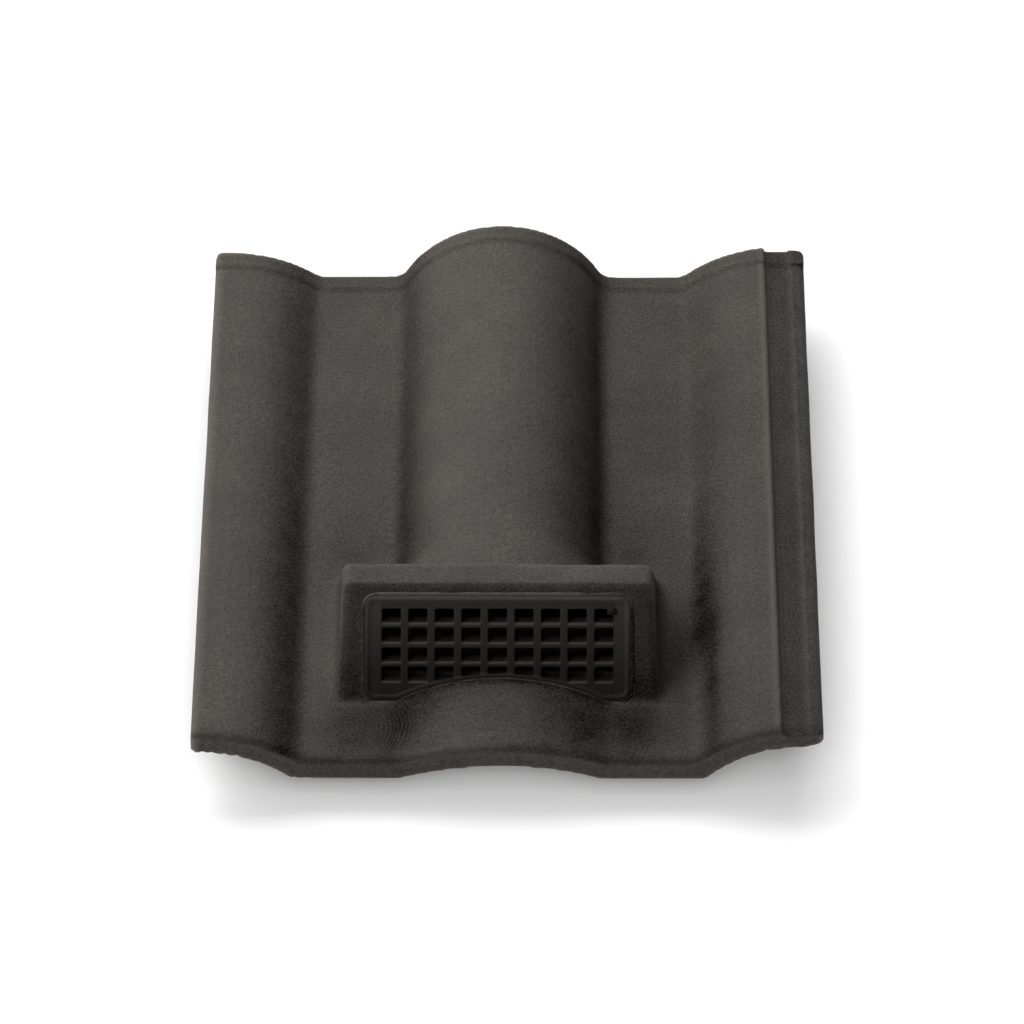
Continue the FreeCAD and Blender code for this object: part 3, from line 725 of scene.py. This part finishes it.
lessShaded = np.maximum(onArch * (1 - beadShade["rightLoss"] * atRight), ramp(z, *beadZones["lessShadedTop"]))
archPale = beadPale["arch"] * onArch * (1 - beadPale["rightLoss"] * atRight)
topPale = beadPale["top"] * ramp(z, *beadZones["paleTop"])
# painted shade and painted highlights on the bead
paint(beadMesh, "shadeAndStain", beadShade["all"] + beadShade["right"] * atRight - beadShade["lessShaded"] * lessShaded)
paint(beadMesh, "pale", np.maximum(archPale, topPale))
beadMesh.materials.append(concrete)
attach(bead, "root")
print("bedding done:", len(beadPoints), "points")

# crumb of mortar caught in the upper corner of the last hole, in mm
crumbLook = {
    "middle": (54.9, -127.9, 61.4),
    "reach": (3.0, 2.2, 2.3),
    "uneven": 0.3,
    "lumps": 1.7,  # lumps per radius
    "seed": (2.0, 0.5, 9.0),
    "shadeAndDirt": 0.75,
}
crumbMesh = bpy.data.meshes.new("mortarCrumb")
ball = bmesh.new()
bmesh.ops.create_icosphere(ball, subdivisions=3, radius=1.0)
for vert in ball.verts:
    lumpy = noise.noise(vert.co * crumbLook["lumps"] + Vector(crumbLook["seed"]))
    vert.co *= 1 + crumbLook["uneven"] * lumpy
    vert.co = Vector([(m + r * c) * mm for m, r, c in zip(crumbLook["middle"], crumbLook["reach"], vert.co)])
ball.to_mesh(crumbMesh)
ball.free()
smoothShade(crumbMesh)
crumb = linkNew("mortarCrumb", crumbMesh)
paint(crumbMesh, "shadeAndStain", np.full(len(crumbMesh.vertices), crumbLook["shadeAndDirt"]))
crumbMesh.materials.append(concrete)
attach(crumb, "root")
print("crumb done:", len(crumbMesh.vertices), "points")

# Plain floor, painted matt: pale, with no pattern of its own; it lies under the nibs' feet
floorLook = {"reach": 6.0, "colour": "f3f3f3", "roughness": 0.9}  # m
floorMesh = bpy.data.meshes.new("floor")
floorCorners = [(a * floorLook["reach"], b * floorLook["reach"], 0) for a, b in ((-1, -1), (1, -1), (1, 1), (-1, 1))]
floorMesh.from_pydata(floorCorners, [], [(0, 1, 2, 3)])
floor = linkNew("floor", floorMesh)
floorPaint = bpy.data.materials.new("floorPaintMatt")
floorPaint.use_nodes = True
shader = floorPaint.node_tree.nodes["Principled BSDF"]
shader.inputs["Base Color"].default_value = hexToLinear(floorLook["colour"])
shader.inputs["Roughness"].default_value = floorLook["roughness"]
floorMesh.materials.append(floorPaint)
print("floor laid")

# soft studio light on the part: a box light up and behind, one at the left, a weak fill and a dim pale room
# the floor has its own larger lights, which keep its shadow soft and its far reaches white; sizes in m
lightLook = {
    "box": {"from": (-0.35, 0.9, 1.0), "distance": 2.2, "size": 1.5, "watts": 43.0, "onto": "part"},
    "side": {"from": (-0.85, -0.1, 1.0), "distance": 2.2, "size": 1.5, "watts": 26.0, "onto": "part"},
    "fill": {"from": (0.9, 0.3, 0.45), "distance": 2.2, "size": 1.5, "watts": 3.2, "onto": "part"},
    "floorKey": {"from": (-0.22, 0.9, 1.0), "distance": 3.0, "size": 3.2, "watts": 106.0, "onto": "floor"},
    "floorLeft": {"from": (-0.9, 0.3, 1.0), "distance": 3.0, "size": 2.5, "watts": 32.0, "onto": "floor"},
    "floorFront": {"from": (0.1, -1.0, 1.1), "distance": 3.0, "size": 2.5, "watts": 38.0, "onto": "floor"},
    "floorLow": {"from": (0.0, -1.0, 0.45), "distance": 3.0, "size": 2.5, "watts": 68.0, "onto": "floor"},
}
roomLook = {"colour": "ffffff", "strength": 0.085}
lit = {}
for name, things in {"part": (tile, grille, bead, crumb), "floor": (floor,)}.items():
    lit[name] = bpy.data.collections.new(name + "Lit")
    for thing in things:
        lit[name].objects.link(thing)
for name, look in lightLook.items():
    lamp = bpy.data.lights.new(name + "Light", "AREA")
    lamp.size = look["size"]
    lamp.energy = look["watts"]
    lampObject = linkNew(name + "Light", lamp)
    toLight = Vector(look["from"]).normalized()
    lampObject.location = toLight * look["distance"]
    lampObject.rotation_euler = toLight.to_track_quat("Z", "Y").to_euler()
    lampObject.light_linking.receiver_collection = lit[look["onto"]]
world = bpy.data.worlds.new("room")
world.use_nodes = True
background = world.node_tree.nodes["Background"]
background.inputs["Color"].default_value = hexToLinear(roomLook["colour"])
background.inputs["Strength"].default_value = roomLook["strength"]
bpy.context.scene.world = world
bpy.context.scene.view_settings.view_transform = "Standard"

# camera on the tile's centre line, well back with a long lens
cameraLook = {
    "azimuth": 0.2,  # degrees
    "elevation": 38.6,
    "distance": 4.184,  # m
    "lens": 271.0,  # mm, as is the sensor
    "sensor": 36.0,
    "aim": (0.0, 0.0, 0.0275),  # m
    "shift": (3.7 / 1024, -2.5 / 1024),  # parts of the picture's width
    "farthest": 50.0,  # m
}
eye = bpy.data.cameras.new("camera")
eye.lens = cameraLook["lens"]
eye.sensor_width = cameraLook["sensor"]
eye.shift_x, eye.shift_y = cameraLook["shift"]
eye.clip_end = cameraLook["farthest"]
camera = linkNew("camera", eye)
azimuth = math.radians(cameraLook["azimuth"])
rise = math.radians(cameraLook["elevation"])
back = Vector((math.sin(azimuth) * math.cos(rise), -math.cos(azimuth) * math.cos(rise), math.sin(rise)))
camera.location = Vector(cameraLook["aim"]) + back * cameraLook["distance"]
camera.rotation_euler = back.to_track_quat("Z", "Y").to_euler()
bpy.context.scene.camera = camera
print("light and camera set")
